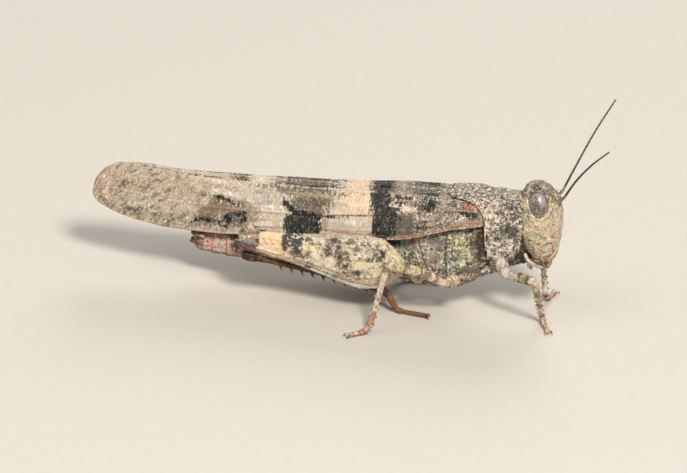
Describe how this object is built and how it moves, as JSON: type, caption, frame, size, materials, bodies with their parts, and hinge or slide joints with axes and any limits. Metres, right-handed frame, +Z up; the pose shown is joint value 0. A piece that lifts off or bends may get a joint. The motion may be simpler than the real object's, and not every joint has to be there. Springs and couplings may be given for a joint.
{
  "type": "grasshopper",
  "caption": "Life-size still model of a mottled band-winged grasshopper at rest on its feet, with folded wings, short horn-like feelers and folded jumping legs.",
  "frame": {"origin": "centre of the model's box, on the floor under its feet", "axes": "+X forwards out of the head, +Y to the animal's left, +Z up"},
  "size_m": [0.0413, 0.0182, 0.0172],
  "materials": {
    "cuticle": "dry matt shell, sandy yellow-grey with fine dark specks, slightly granular",
    "wing": "leathery forewing, cream and peach-grey with two dark bands, fine net of veins, soft sheen",
    "hindwing": "thin pale membrane, folded, satin",
    "eye": "purple-grey compound eye with small dark spots, glossy",
    "leg": "cream to pinkish leg shell with blue-grey bands and brown mottling, matt",
    "shin": "red-brown hind shin and foot, low sheen",
    "feeler": "dark brown ringed feeler, matt",
    "mouth": "orange-brown mouthparts and pinkish white palps, low sheen"
  },
  "bodies": {
    "root": {"abdomen": "cuticle", "antenna_left": "feeler", "antenna_right": "feeler", "cercus_left": "cuticle", "cercus_right": "cuticle", "eye_left": "eye", "eye_right": "eye", "front_coxa_left": "leg", "front_coxa_right": "leg", "front_femur_left": "leg", "front_femur_right": "leg", "front_tarsus_left": "leg", "front_tarsus_right": "leg", "front_tibia_left": "leg", "front_tibia_right": "leg", "head": "cuticle", "hind_coxa_left": "leg", "hind_coxa_right": "leg", "hind_femur_left": "leg", "hind_femur_right": "leg", "hind_tarsus_left": "shin", "hind_tarsus_right": "shin", "hind_tibia_left": "shin", "hind_tibia_right": "shin", "hindwing_left": "hindwing", "hindwing_right": "hindwing", "labrum": "mouth", "mandible_left": "mouth", "mandible_right": "mouth", "middle_coxa_left": "leg", "middle_coxa_right": "leg", "middle_femur_left": "leg", "middle_femur_right": "leg", "middle_tarsus_left": "leg", "middle_tarsus_right": "leg", "middle_tibia_left": "leg", "middle_tibia_right": "leg", "palp_labial_left": "mouth", "palp_labial_right": "mouth", "palp_maxillary_left": "mouth", "palp_maxillary_right": "mouth", "pronotum": "cuticle", "tegmen_left": "wing", "tegmen_right": "wing", "thorax": "cuticle"}
  },
  "joints": []
}
